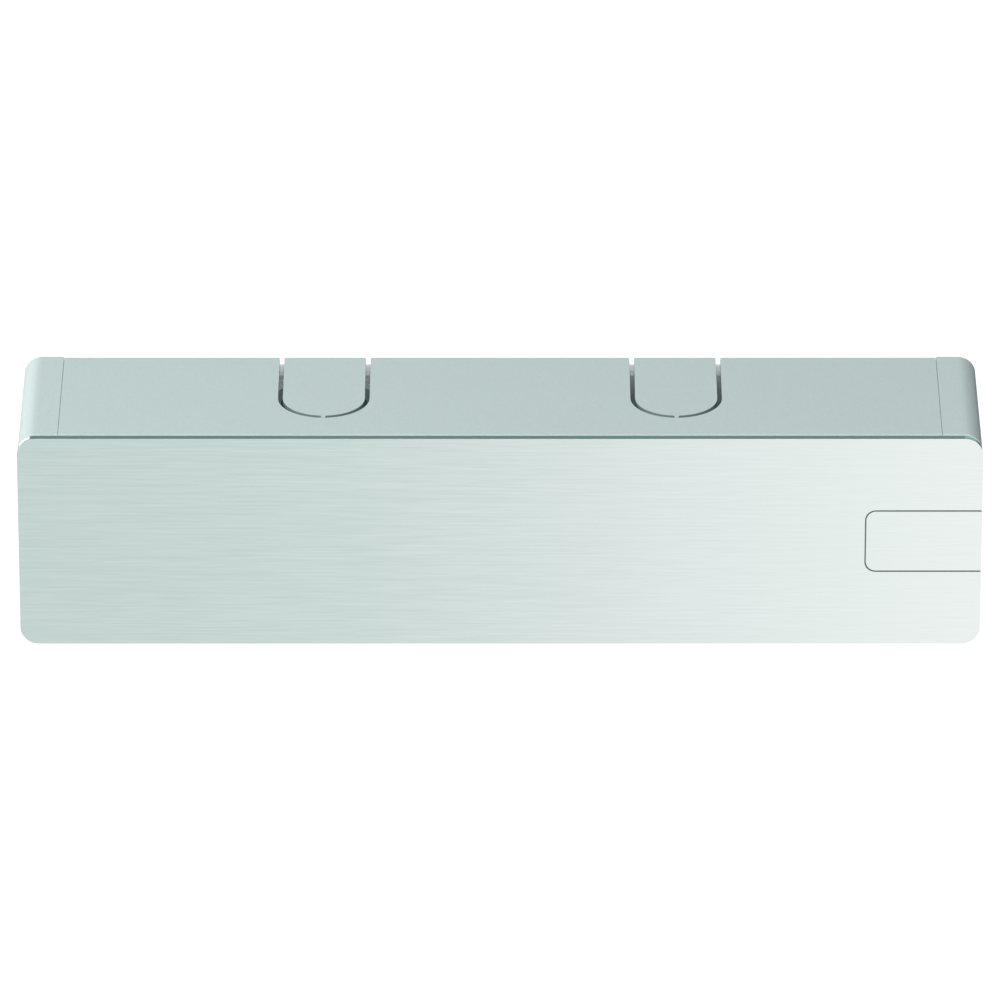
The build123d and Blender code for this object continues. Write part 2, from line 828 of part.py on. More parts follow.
# Heart cam: its edge lies a roller's radius inside the path of the roller's centre, which
# goes outwards evenly from the notch to the tip. Both rollers so move alike with the
# spindle, the one outwards and the other inwards.


def cam_edge_point(angle):
    """Point of the cam's edge whose roller centre lies at an angle from the notch."""
    path_radius = notch_path_radius + path_rise * angle
    slant = hypot(path_radius, path_rise)
    inward_x = (path_radius * cos(angle) + path_rise * sin(angle)) / slant
    inward_y = (path_radius * sin(angle) - path_rise * cos(angle)) / slant
    return (
        path_radius * cos(angle) - contact_radius * inward_x,
        path_radius * sin(angle) - contact_radius * inward_y,
    )


def cam_tip_angle():
    """Angle at which the cam's two flanks meet, found by halving."""
    low = pi / 2
    high = pi
    while high - low > 1e-9:
        middle = (low + high) / 2
        if cam_edge_point(middle)[1] > 0:
            low = middle
        else:
            high = middle
    return low


tip_angle = cam_tip_angle()
flank = [cam_edge_point(tip_angle * step / cam_steps) for step in range(cam_steps)]
tip = (cam_edge_point(tip_angle)[0], 0)
with BuildPart() as heart_cam:
    with BuildSketch(on_spindle(-cam_thickness / 2)):
        with BuildLine():
            Spline(*flank, tip)
            Spline(*[(x, -y) for x, y in flank], tip)
            ThreePointArc(
                (flank[0][0], -flank[0][1]), (notch_path_radius - contact_radius, 0), flank[0]
            )
        make_face()
        Circle(journal_radius, mode=Mode.SUBTRACT)
        with Locations((key_middle_x, 0)):
            Rectangle(cam_key_height, cam_key_width, mode=Mode.SUBTRACT)
    extrude(amount=cam_thickness)
heart_cam.part.label = "heart_cam"
export_step(heart_cam.part, "parts/heart_cam.step")

# Rollers and their pins, one pair in each piston.

for place, x in (("drive", drive_roller_x), ("damping", damping_roller_x)):
    with BuildPart() as roller:
        roller_base = Plane((x, bore_y, -roller_thickness / 2))
        ring(roller_base, roller_radius, roller_pin_radius + roller_play, roller_thickness)
    roller.part.label = f"{place}_roller"
    export_step(roller.part, f"parts/{place}_roller.step")

    with BuildPart() as roller_pin:
        disc(Plane((x, bore_y, -roller_pin_length / 2)), roller_pin_radius, roller_pin_length)
    roller_pin.part.label = f"{place}_roller_pin"
    export_step(roller_pin.part, f"parts/{place}_roller_pin.step")

# Pistons: each has a fork for its roller, a ring groove and a spring pocket.


def fork_piston(side, roller_x, length, pocket_radius, pocket_depth, groove_offset):
    """A piston whose fork holds a roller and whose tail points to one side."""
    nose_x = roller_x - side * fork_reach
    tail_x = nose_x + side * length
    with BuildPart() as piston:
        disc(across_bore(nose_x, side), piston_radius, length)
        with BuildSketch(across_bore(nose_x, side)):
            Rectangle(2 * bore_radius, fork_gap)
        extrude(amount=fork_reach + fork_floor, mode=Mode.SUBTRACT)
        disc(
            Plane((roller_x, bore_y, -roller_pin_length / 2)),
            roller_pin_radius,
            roller_pin_length,
            Mode.SUBTRACT,
        )
        disc(across_bore(tail_x, -side), pocket_radius, pocket_depth, Mode.SUBTRACT)
        ring(
            across_bore(nose_x + side * groove_offset, side),
            bore_radius,
            piston_radius - ring_groove_depth,
            ring_groove_width,
            Mode.SUBTRACT,
        )
    return piston


def piston_ring(side, roller_x, groove_offset):
    """The seal ring that fills a piston's groove."""
    start_x = roller_x + side * (groove_offset - fork_reach + seat_play)
    with BuildPart() as seal:
        ring(
            across_bore(start_x, side),
            piston_radius,
            piston_radius - ring_groove_depth,
            ring_groove_width - 2 * seat_play,
        )
    return seal


drive_piston = fork_piston(
    1,
    drive_roller_x,
    drive_piston_length,
    drive_pocket_radius,
    drive_pocket_depth,
    drive_groove_offset,
)
drive_piston.part.label = "drive_piston"
export_step(drive_piston.part, "parts/drive_piston.step")

drive_piston_ring = piston_ring(1, drive_roller_x, drive_groove_offset)
drive_piston_ring.part.label = "drive_piston_ring"
export_step(drive_piston_ring.part, "parts/drive_piston_ring.step")

with BuildPart() as damping_piston:
    add(
        fork_piston(
            -1,
            damping_roller_x,
            damping_piston_length,
            damping_pocket_radius,
            damping_pocket_depth,
            damping_groove_offset,
        ).part
    )
    disc(across_bore(damping_spring_x), check_chamber_radius, check_chamber_depth, Mode.SUBTRACT)
    disc(across_bore(damping_spring_x), check_hole_radius, damping_piston_length, Mode.SUBTRACT)
damping_piston.part.label = "damping_piston"
export_step(damping_piston.part, "parts/damping_piston.step")

damping_piston_ring = piston_ring(-1, damping_roller_x, damping_groove_offset)
damping_piston_ring.part.label = "damping_piston_ring"
export_step(damping_piston_ring.part, "parts/damping_piston_ring.step")

# Check valve: a ball that closes the hole through the damping piston, and the ring
# that keeps it in its chamber.

ball_seat_reach = sqrt(check_ball_radius**2 - check_hole_radius**2)
ball_x = damping_spring_x + check_chamber_depth - ball_seat_reach - check_ball_gap
with BuildPart(across_bore(ball_x)) as check_valve_ball:
    Sphere(check_ball_radius)
check_valve_ball.part.label = "check_valve_ball"
export_step(check_valve_ball.part, "parts/check_valve_ball.step")

with BuildPart() as check_valve_retainer:
    ring(
        across_bore(damping_spring_x),
        check_chamber_radius - seat_play,
        check_retainer_hole,
        check_retainer_thickness,
    )
check_valve_retainer.part.label = "check_valve_retainer"
export_step(check_valve_retainer.part, "parts/check_valve_retainer.step")

# Springs: round wire wound about the main bore's centre line.


def coil_spring(outer_radius, wire, turns, start_x, end_x, lefthand=False):
    """A compression spring between two seats."""
    rise = end_x - start_x - wire
    with BuildPart() as spring:
        with BuildLine() as path:
            Helix(
                rise / turns,
                rise,
                outer_radius - wire / 2,
                center=(start_x + wire / 2, bore_y, 0),
                direction=(1, 0, 0),
                lefthand=lefthand,
            )
        with BuildSketch(Plane(origin=path.line @ 0, z_dir=path.line % 0)):
            Circle(wire / 2)
        sweep(path=path.line, is_frenet=True)
    return spring


outer_closing_spring = coil_spring(
    outer_spring_radius, outer_spring_wire, outer_spring_turns, drive_spring_x, spring_seat_x
)
outer_closing_spring.part.label = "outer_closing_spring"
export_step(outer_closing_spring.part, "parts/outer_closing_spring.step")

inner_closing_spring = coil_spring(
    inner_spring_radius,
    inner_spring_wire,
    inner_spring_turns,
    drive_spring_x,
    spring_seat_x,
    lefthand=True,
)
inner_closing_spring.part.label = "inner_closing_spring"
export_step(inner_closing_spring.part, "parts/inner_closing_spring.step")

damping_return_spring = coil_spring(
    damping_spring_radius,
    damping_spring_wire,
    damping_spring_turns,
    -bore_end_x,
    damping_spring_x,
)
damping_return_spring.part.label = "damping_return_spring"
export_step(damping_return_spring.part, "parts/damping_return_spring.step")

# Spring seat: the nut that the adjuster moves along the bore.

with BuildPart() as spring_seat:
    disc(across_bore(spring_seat_x), spring_seat_radius, spring_seat_thickness)
    disc(
        across_bore(spring_seat_x + spring_seat_thickness),
        spring_seat_step_radius,
        spring_seat_step,
    )
    disc(
        across_bore(spring_seat_x),
        adjuster_rod_radius + adjuster_thread_play,
        spring_seat_thickness + spring_seat_step,
        Mode.SUBTRACT,
    )
spring_seat.part.label = "spring_seat"
export_step(spring_seat.part, "parts/spring_seat.step")

# Closing force adjuster: a threaded rod with a collar that bears on the end plug
# through a washer, and a neck with a key socket outside.

washer_x = bore_end_x - thrust_washer_thickness - thrust_washer_gap
collar_x = washer_x - thrust_washer_gap - adjuster_collar_thickness
adjuster_end_x = housing_end_x - adjuster_end_inset
adjuster_seal_x = housing_end_x - adjuster_groove_inset - adjuster_groove_width / 2
with BuildPart() as force_adjuster_screw:
    disc(across_bore(adjuster_rod_start_x), adjuster_rod_radius, collar_x - adjuster_rod_start_x)
    disc(across_bore(collar_x), adjuster_collar_radius, adjuster_collar_thickness)
    disc(across_bore(collar_x), adjuster_neck_radius, adjuster_end_x - collar_x)
    hex_socket(across_bore(adjuster_end_x, -1), adjuster_hex, adjuster_hex_depth)
    ring(
        across_bore(adjuster_seal_x - adjuster_groove_width / 2),
        adjuster_neck_radius + adjuster_neck_play,
        adjuster_neck_radius - adjuster_groove_depth,
        adjuster_groove_width,
        Mode.SUBTRACT,
    )
force_adjuster_screw.part.label = "force_adjuster_screw"
export_step(force_adjuster_screw.part, "parts/force_adjuster_screw.step")

force_adjuster_seal = o_ring(
    across_bore(adjuster_seal_x), adjuster_neck_radius - adjuster_groove_depth, adjuster_neck_radius
)
force_adjuster_seal.part.label = "force_adjuster_seal"
export_step(force_adjuster_seal.part, "parts/force_adjuster_seal.step")

with BuildPart() as adjuster_thrust_washer:
    ring(
        across_bore(washer_x),
        adjuster_collar_radius,
        adjuster_neck_radius + adjuster_thread_play,
        thrust_washer_thickness,
    )
adjuster_thrust_washer.part.label = "adjuster_thrust_washer"
export_step(adjuster_thrust_washer.part, "parts/adjuster_thrust_washer.step")

# Valve screws: each has a key socket at the front, a seal in a groove and a tip that
# throttles the gallery.

valve_radius = valve_bore_radius - valve_play
valve_head_depth = -block_front_y - valve_head_inset
valve_seal_depth = valve_head_depth - valve_groove_inset
valve_shoulder_depth = valve_seat_depth + valve_head_inset
for name, x, z in (
    ("closing_speed_valve", valve_x_near_plug, valve_z),
    ("latching_speed_valve", valve_x_near_spindle, valve_z),
    ("backcheck_valve", valve_x_near_plug, -valve_z),
    ("delayed_closing_valve", valve_x_near_spindle, -valve_z),
):
    with BuildPart() as valve_screw:
        disc(
            from_front(x, valve_head_depth, z), valve_radius, valve_head_depth - valve_shoulder_depth
        )
        disc(
            from_front(x, valve_shoulder_depth, z),
            valve_tip_radius,
            valve_shoulder_depth - gallery_depth + valve_tip_reach,
        )
        hex_socket(from_front(x, valve_head_depth, z), valve_hex, valve_hex_depth)
        ring(
            from_front(x, valve_seal_depth + valve_groove_width / 2, z),
            valve_bore_radius,
            valve_radius - valve_groove_depth,
            valve_groove_width,
            Mode.SUBTRACT,
        )
    valve_screw.part.label = name
    export_step(valve_screw.part, f"parts/{name}.step")

    valve_seal = o_ring(
        from_front(x, valve_seal_depth, z), valve_radius - valve_groove_depth, valve_radius
    )
    valve_seal.part.label = f"{name}_seal"
    export_step(valve_seal.part, f"parts/{name}_seal.step")

# Balls pressed into the open ends of the galleries.

with BuildPart() as gallery_sealing_balls:
    ball_centers = [
        (-housing_end_x + gallery_ball_inset, -gallery_depth, z) for z in (-valve_z, valve_z)
    ]
    with Locations(*ball_centers):
        Sphere(gallery_ball_radius - seat_play)
gallery_sealing_balls.part.label = "gallery_sealing_balls"
export_step(gallery_sealing_balls.part, "parts/gallery_sealing_balls.step")

# Oil filler screw: flush in the front of the block.

with BuildPart() as oil_filler_screw:
    filler_head = from_front(filler_x, -block_front_y, 0)
    disc(filler_head, filler_head_radius - thread_play, filler_head_height)
    disc(
        filler_head,
        filler_radius - thread_play,
        bore_y - block_front_y - bore_radius - piston_play,
    )
    hex_socket(filler_head, filler_hex, filler_hex_depth)
oil_filler_screw.part.label = "oil_filler_screw"
export_step(oil_filler_screw.part, "parts/oil_filler_screw.step")
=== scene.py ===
import math

import bmesh
import bpy
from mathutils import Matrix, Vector


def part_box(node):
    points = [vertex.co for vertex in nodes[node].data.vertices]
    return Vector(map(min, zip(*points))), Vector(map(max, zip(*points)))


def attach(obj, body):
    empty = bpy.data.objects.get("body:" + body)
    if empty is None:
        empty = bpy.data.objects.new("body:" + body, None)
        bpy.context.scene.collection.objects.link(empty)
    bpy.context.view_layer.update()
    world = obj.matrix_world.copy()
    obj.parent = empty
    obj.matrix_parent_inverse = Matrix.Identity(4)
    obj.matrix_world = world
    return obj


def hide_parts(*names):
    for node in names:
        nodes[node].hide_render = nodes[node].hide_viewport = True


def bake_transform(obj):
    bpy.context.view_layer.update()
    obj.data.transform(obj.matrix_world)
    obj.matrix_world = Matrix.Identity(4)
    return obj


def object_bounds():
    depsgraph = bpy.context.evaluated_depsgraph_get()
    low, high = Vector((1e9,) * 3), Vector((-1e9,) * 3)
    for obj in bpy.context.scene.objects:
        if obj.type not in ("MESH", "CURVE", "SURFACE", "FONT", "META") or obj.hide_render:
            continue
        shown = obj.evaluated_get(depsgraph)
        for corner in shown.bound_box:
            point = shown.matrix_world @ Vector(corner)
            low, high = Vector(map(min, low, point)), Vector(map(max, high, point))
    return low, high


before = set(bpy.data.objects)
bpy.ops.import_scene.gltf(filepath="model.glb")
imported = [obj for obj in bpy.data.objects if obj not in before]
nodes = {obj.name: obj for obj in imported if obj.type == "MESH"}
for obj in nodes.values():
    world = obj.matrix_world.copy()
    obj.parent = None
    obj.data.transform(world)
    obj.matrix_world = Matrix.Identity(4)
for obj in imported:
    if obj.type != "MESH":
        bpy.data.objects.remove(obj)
cad_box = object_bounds()

# Mounting plate: 2 mm cold-rolled steel sheet, punched and bent up at both ends, then zinc
# plated. The four door screws and the four body screws hold it between door and body.

per_mm = 1000.0


def linear(colour):
    """The linear colour of an sRGB hex value."""
    channels = [int(colour[i : i + 2], 16) / 255 for i in (0, 2, 4)]
    return [c / 12.92 if c < 0.04045 else ((c + 0.055) / 1.055) ** 2.4 for c in channels] + [1.0]


def add_node(tree, kind, settings=None, links=None):
    """Adds a node, with its settings and the sockets that feed it."""
    node = tree.nodes.new(kind)
    for name, value in (settings or {}).items():
        if isinstance(name, int) or name in node.inputs:
            node.inputs[name].default_value = value
        else:
            setattr(node, name, value)
    for name, source in (links or {}).items():
        tree.links.new(source, node.inputs[name])
    return node


def new_material(name, colour, settings):
    """A material with its tree and shader. What is the same all over is set on the shader."""
    material = bpy.data.materials.new(name)
    material.use_nodes = True
    tree = material.node_tree
    shader = tree.nodes["Principled BSDF"]
    shader.inputs["Base Color"].default_value = linear(colour)
    for socket, value in settings.items():
        shader.inputs[socket].default_value = value
    return material, tree, shader


def noise(tree, per_metre, detail=2.0):
    """A noise pattern with its own number of grains per metre along x, y and z."""
    place = add_node(tree, "ShaderNodeTexCoord")
    scaled = add_node(
        tree,
        "ShaderNodeMapping",
        {"Scale": per_metre},
        {"Vector": place.outputs["Object"]},
    )
    pattern = add_node(
        tree,
        "ShaderNodeTexNoise",
        {"Scale": 1.0, "Detail": detail},
        {"Vector": scaled.outputs["Vector"]},
    )
    return pattern.outputs["Fac"]


# A noise pattern hardly ever leaves this range.
noise_low, noise_high = 0.3, 0.7


def vary(tree, shader, socket, pattern, low, high):
    """Lets a number of the shader follow the pattern from low to high."""
    ranged = add_node(
        tree,
        "ShaderNodeMapRange",
        {"From Min": noise_low, "From Max": noise_high, "To Min": low, "To Max": high},
        {"Value": pattern},
    )
    tree.links.new(ranged.outputs["Result"], shader.inputs[socket])


def tint(tree, shader, pattern, dark, light):
    """Lets the shader's colour follow the pattern between two hex colours, and returns it."""
    ramp = add_node(tree, "ShaderNodeValToRGB", {}, {"Fac": pattern})
    first, last = ramp.color_ramp.elements
    first.position, first.color = noise_low, linear(dark)
    last.position, last.color = noise_high, linear(light)
    tree.links.new(ramp.outputs["Color"], shader.inputs["Base Color"])
    return ramp.outputs["Color"]


def relief(tree, shader, pattern, height_mm):
    """Lets the pattern raise the surface by up to a height in millimetres."""
    bump = add_node(
        tree, "ShaderNodeBump", {"Distance": height_mm / per_mm}, {"Height": pattern}
    )
    tree.links.new(bump.outputs["Normal"], shader.inputs["Normal"])


def dress(material, *names):
    """Gives CAD nodes their material."""
    for name in names:
        for place in nodes[name].material_slots:
            place.material = material


# Dull zinc on rolled steel: a pale, milky grey that is more matt than bright, broken by faint
# rolling lines along the sheet and by slow clouds where the plating is thicker.
zinc, tree, shader = new_material(
    "dull_zinc_on_rolled_steel", "EAF4F2", {"Metallic": 0.1, "Roughness": 0.45}
)
zinc_cloud_mm = 9.0
rolling_line_mm = 0.35
rolling_run_mm = 40.0
clouds = noise(tree, [per_mm / zinc_cloud_mm] * 3)
rolling = noise(
    tree, [per_mm / rolling_run_mm, per_mm / rolling_line_mm, per_mm / rolling_line_mm]
)
tint(tree, shader, clouds, "E6F1EF", "EFF8F6")
vary(tree, shader, "Roughness", clouds, 0.4, 0.52)
relief(tree, shader, rolling, 0.004)
dress(zinc, "mounting_plate")

# Cover clips and springs: oil-tempered spring steel. The four clips hook over the plate's end
# tabs and bulge outwards, so the cover snaps over them. The two closing springs lie in the bore.

# Tempered spring steel: dark blue-grey with straw-coloured clouds from the heat, half glossy
# under a trace of oil.
spring_steel, tree, shader = new_material(
    "oil_tempered_spring_steel", "565A60", {"Metallic": 1.0, "Roughness": 0.32}
)
temper_cloud_mm = 5.0
temper = noise(tree, [per_mm / temper_cloud_mm] * 3, 3.0)
tint(tree, shader, temper, "4B5560", "6B6258")
vary(tree, shader, "Roughness", temper, 0.26, 0.4)
dress(spring_steel, "cover_clip_springs", "check_valve_retainer")

# The piston squeezes the closing springs from one end and the spring seat from the other. Each is
# cut at its middle into two halves, one at the piston's end and one at the seat's end.
weld_mm = 0.001
crease_angle = math.radians(40.0)


def spring_piece(name, node, cut_x=None, side=0):
    """A spring, or its part on one side of a cut, as a piece that stands for the CAD node."""
    coil = bmesh.new()
    coil.from_mesh(nodes[node].data)
    bmesh.ops.remove_doubles(coil, verts=coil.verts, dist=weld_mm / per_mm)
    if side:
        cut = bmesh.ops.bisect_plane(
            coil,
            geom=coil.verts[:] + coil.edges[:] + coil.faces[:],
            plane_co=(cut_x, 0.0, 0.0),
            plane_no=(-side, 0.0, 0.0),
            clear_outer=True,
        )
        rim = [part for part in cut["geom_cut"] if isinstance(part, bmesh.types.BMEdge)]
        bmesh.ops.holes_fill(coil, edges=rim)
    mesh = bpy.data.meshes.new(name)
    coil.to_mesh(mesh)
    coil.free()
    for polygon in mesh.polygons:
        polygon.use_smooth = True
    mesh.set_sharp_from_angle(angle=crease_angle)
    mesh.materials.append(spring_steel)
    piece = bpy.data.objects.new(name, mesh)
    bpy.context.scene.collection.objects.link(piece)
    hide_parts(node)
    return piece


for node in ("outer_closing_spring", "inner_closing_spring"):
    low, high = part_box(node)
    middle_x = (low.x + high.x) / 2
    piston_half = spring_piece(node + "_piston_half", node, middle_x, -1)
    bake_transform(piston_half)
    seat_half = spring_piece(node + "_seat_half", node, middle_x, 1)
    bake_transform(seat_half)

low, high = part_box("damping_return_spring")
return_spring = spring_piece("damping_return_spring_coil", "damping_return_spring")
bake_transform(return_spring)

# Body: one aluminium die casting with the cylinder, the two spindle bosses, ribs and flange.
# It is cast, bored, honed inside, and painted outside against corrosion.


def beyond(tree, coordinate, axis, limit, both_ways=False):
    """A share of 1 where a coordinate along an axis is over a limit, and 0 elsewhere."""
    place = add_node(
        tree,
        "ShaderNodeSeparateXYZ",
        {},
        {"Vector": add_node(tree, "ShaderNodeTexCoord").outputs[coordinate]},
    ).outputs[axis]
    if both_ways:
        place = add_node(
            tree, "ShaderNodeMath", {"operation": "ABSOLUTE"}, {0: place}
        ).outputs["Value"]
    return add_node(
        tree, "ShaderNodeMath", {"operation": "GREATER_THAN", 1: limit}, {0: place}
    ).outputs["Value"]


def layered(tree, base, *layers):
    """Lays colours over a base, each with its own share. A colour is a hex value or a socket."""
    lower_socket, upper_socket = 6, 7
    below = base
    for share, colour in layers:
        mix = add_node(tree, "ShaderNodeMix", {"data_type": "RGBA"}, {0: share})
        for socket, value in ((lower_socket, below), (upper_socket, colour)):
            if isinstance(value, str):
                mix.inputs[socket].default_value = linear(value)
            else:
                tree.links.new(value, mix.inputs[socket])
        below = mix.outputs[2]
    return below


# Silver-painted die-cast aluminium: a dull pale grey with the fine pebbled skin that the die
# leaves. The faces of the two bosses are turned bare, and mirror a darker room.
cast_aluminium, tree, shader = new_material(
    "silver_painted_die_cast_aluminium", "B8C7C5", {"Roughness": 0.5}
)
casting_grain_mm = 0.45
casting_patch_mm = 14.0
bare_colour = "94A3A1"
boss_face_depth = 0.0027
grain = noise(tree, [per_mm / casting_grain_mm] * 3, 3.0)
patches = noise(tree, [per_mm / casting_patch_mm] * 3)
turned_bare = beyond(tree, "Object", "Z", cad_box[1].z - boss_face_depth, both_ways=True)
painted = tint(tree, shader, patches, "B5C3C1", "BDCAC8")
with_bare_faces = layered(tree, painted, (turned_bare, bare_colour))
tree.links.new(with_bare_faces, shader.inputs["Base Color"])
vary(tree, shader, "Metallic", turned_bare, 0.1, 1.0)
vary(tree, shader, "Roughness", grain, 0.44, 0.6)
relief(tree, shader, grain, 0.03)
dress(cast_aluminium, "closer_housing")

# Spindle bearings: drawn cups pressed into the bosses, with a cage and 14 needles in each.
# They are through-hardened steel, ground and lapped.

# Lapped bearing steel: nearly a mirror, with only a breath of haze.
bearing_steel, tree, shader = new_material(
    "lapped_bearing_steel", "CDD0D3", {"Metallic": 1.0, "Roughness": 0.12}
)
lapping_mm = 0.3
haze = noise(tree, [per_mm / lapping_mm] * 3)
vary(tree, shader, "Roughness", haze, 0.09, 0.17)
dress(
    bearing_steel,
    "upper_bearing_cup",
    "lower_bearing_cup",
    "upper_bearing_needles",
    "lower_bearing_needles",
    "gallery_sealing_balls",
    "check_valve_ball",
)

# Turned parts: covers, cages, pistons, end plugs, spring seat and force adjuster are turned
# from bar on a lathe, and the tool leaves rings round the axis that each was turned on.

# Turned free-cutting steel: bright grey, with fine rings that break a reflection into a fan.
turning_feed_mm = 0.4
turned_round_bore, tree, shader = new_material(
    "steel_turned_round_the_bore", "BFC3C6", {"Metallic": 1.0, "Roughness": 0.28}
)
rings_along_x = noise(tree, [per_mm / turning_feed_mm, 0.0, 0.0])
vary(tree, shader, "Roughness", rings_along_x, 0.2, 0.36)
relief(tree, shader, rings_along_x, 0.006)
dress(
    turned_round_bore,
    "drive_piston",
    "damping_piston",
    "damping_end_plug",
    "spring_end_plug",
    "spring_seat",
    "force_adjuster_screw",
)

turned_round_spindle, tree, shader = new_material(
    "steel_turned_round_the_spindle", "BFC3C6", {"Metallic": 1.0, "Roughness": 0.28}
)
rings_along_z = noise(tree, [0.0, 0.0, per_mm / turning_feed_mm])
vary(tree, shader, "Roughness", rings_along_z, 0.2, 0.36)
relief(tree, shader, rings_along_z, 0.006)
dress(
    turned_round_spindle,
    "upper_bearing_cover",
    "lower_bearing_cover",
    "upper_needle_cage",
    "lower_needle_cage",
)

# Spindle and cam drive: the spindle, its key, the heart cam, and the rollers and pins that the
# cam runs on. All are case-hardened steel, ground after hardening.

# Case-hardened and ground steel: darker and a little brown from the furnace, with short
# scratches from the wheel.
ground_steel, tree, shader = new_material(
    "case_hardened_ground_steel", "999B9C", {"Metallic": 1.0, "Roughness": 0.24}
)
wheel_mark_mm = 0.3
wheel_run_mm = 6.0
marks = noise(
    tree, [per_mm / wheel_run_mm, per_mm / wheel_run_mm, per_mm / wheel_mark_mm], 3.0
)
tint(tree, shader, marks, "8F9193", "A3A19E")
vary(tree, shader, "Roughness", marks, 0.18, 0.32)
dress(
    ground_steel,
    "spindle",
    "heart_cam",
    "cam_key",
    "drive_roller",
    "drive_roller_pin",
    "damping_roller",
    "damping_roller_pin",
    "adjuster_thrust_washer",
)

# Seals: o-rings and shaft seals are moulded nitrile rubber, and the piston rings are cut from
# filled fluoroplastic bar.

# Moulded nitrile rubber: black and dull, with a faint bloom.
nitrile, tree, shader = new_material(
    "moulded_nitrile_rubber", "1C1D1E", {"Roughness": 0.55, "IOR": 1.52}
)
bloom_mm = 1.2
bloom = noise(tree, [per_mm / bloom_mm] * 3, 3.0)
tint(tree, shader, bloom, "17181A", "242526")
vary(tree, shader, "Roughness", bloom, 0.48, 0.66)
dress(
    nitrile,
    "upper_shaft_seal",
    "lower_shaft_seal",
    "damping_plug_seal",
    "spring_plug_seal",
    "force_adjuster_seal",
    "closing_speed_valve_seal",
    "latching_speed_valve_seal",
    "backcheck_valve_seal",
    "delayed_closing_valve_seal",
)

# Bronze-filled fluoroplastic: brown, waxy, with specks of bronze.
filled_plastic, tree, shader = new_material(
    "bronze_filled_fluoroplastic", "5A4632", {"Roughness": 0.42, "IOR": 1.38}
)
speck_mm = 0.35
specks = noise(tree, [per_mm / speck_mm] * 3)
tint(tree, shader, specks, "4C3A29", "6E5638")
dress(filled_plastic, "drive_piston_ring", "damping_piston_ring")

# Regulating valves: four needle screws turned from brass bar, screwed into the body from the
# front, each with an o-ring under its head.

# Turned brass: warm yellow, bright, with the lathe's rings round the screw.
turned_brass, tree, shader = new_material(
    "turned_brass", "D9B36A", {"Metallic": 1.0, "Roughness": 0.22}
)
rings_along_y = noise(tree, [0.0, per_mm / turning_feed_mm, 0.0])
vary(tree, shader, "Roughness", rings_along_y, 0.16, 0.3)
relief(tree, shader, rings_along_y, 0.005)
dress(
    turned_brass,
    "closing_speed_valve",
    "latching_speed_valve",
    "backcheck_valve",
    "delayed_closing_valve",
)

# Screws: the four screws that hold the body on its plate, and the oil filler screw. They are
# cold-headed steel, zinc plated and clear passivated.

# Clear-passivated zinc: a paler, slightly blue and yellow iridescent skin than on the plate.
passivated_zinc, tree, shader = new_material(
    "clear_passivated_zinc", "CBCFCE", {"Metallic": 1.0, "Roughness": 0.26}
)
iridescence_mm = 2.5
iridescence = noise(tree, [per_mm / iridescence_mm] * 3)
tint(tree, shader, iridescence, "C3CBD2", "D6D3C2")
vary(tree, shader, "Roughness", iridescence, 0.2, 0.34)
dress(passivated_zinc, "body_fixing_screws", "oil_filler_screw")

# Cover: a U-shaped channel of 1.5 mm aluminium sheet, with two U-shaped knock-outs for the arm
# in its top wall and two in its bottom wall. It is bent, then sprayed in silver and baked.

# Baked silver enamel on aluminium: an even, cool, silky grey. Fine flakes in it give a grain
# that is only just seen, drawn at 0.5 mm because the real one is finer than a pixel.
flake_mm = 0.5
silver_enamel, tree, shader = new_material(
    "baked_silver_enamel_on_aluminium",
    "BECDCC",
    {"Metallic": 0.1, "Roughness": 0.45, "IOR": 1.5},
)
flakes = noise(tree, [per_mm / flake_mm] * 3, 1.0)
enamelled = tint(tree, shader, flakes, "BBCAC9", "C1D0CF")
vary(tree, shader, "Roughness", flakes, 0.4, 0.5)
relief(tree, shader, flakes, 0.002)
# The enamel stops at the upright walls that the punch left behind the web, and these get a
# painted
# shade: a dark teal grey that stands for the shade in the knock-out slots.
painted_shade_wall_colour = "7A8E8C"
web_back = -0.05
wall_slope = 0.5
behind_the_web = beyond(tree, "Object", "Y", web_back)
lying = beyond(tree, "Normal", "Z", wall_slope, both_ways=True)
with_shaded_walls = layered(tree, enamelled, (behind_the_web, painted_shade_wall_colour), (lying, enamelled))
tree.links.new(with_shaded_walls, shader.inputs["Base Color"])
dress(silver_enamel, "cover_channel")

# End caps: hollow mouldings in ABS with rounded corners, pushed into the channel's ends and
# sprayed in the same silver as the channel.

# Silver paint on moulded ABS: as the enamel, but softer in its edge lights, because the
# moulding's skin lies less flat.
silver_paint, tree, shader = new_material(
    "silver_paint_on_moulded_abs",
    "C0CFCE",
    {"Metallic": 0.1, "Roughness": 0.42, "IOR": 1.5},
)
skin_mm = 1.5
flakes = noise(tree, [per_mm / flake_mm] * 3, 1.0)
skin = noise(tree, [per_mm / skin_mm] * 3)
tint(tree, shader, flakes, "BDCCCB", "C3D2D1")
vary(tree, shader, "Roughness", skin, 0.38, 0.46)
relief(tree, shader, skin, 0.003)
dress(silver_paint, "left_end_cap", "right_end_cap")

# Carrier: a polished aluminium plate a little smaller than the front plate. It is riveted to
# the channel's web, and it shows as a thin bright or dark line round the front plate.

# Polished aluminium: a mirror that takes its colour from the room, with a slight haze along
# the buffing.
polished_aluminium, tree, shader = new_material(
    "polished_aluminium", "F0F5F4", {"Metallic": 1.0, "Roughness": 0.1}
)
buffing_mm = 0.4
buffing_run_mm = 25.0
buffing = noise(
    tree, [per_mm / buffing_run_mm, per_mm / buffing_mm, per_mm / buffing_mm]
)
vary(tree, shader, "Roughness", buffing, 0.07, 0.14)
dress(polished_aluminium, "plate_carrier")

# Front plate: 0.55 mm stainless steel sheet, brushed along its length, blanked with rounded
# corners and glued on the carrier. A small bare plate is let into it at the right.

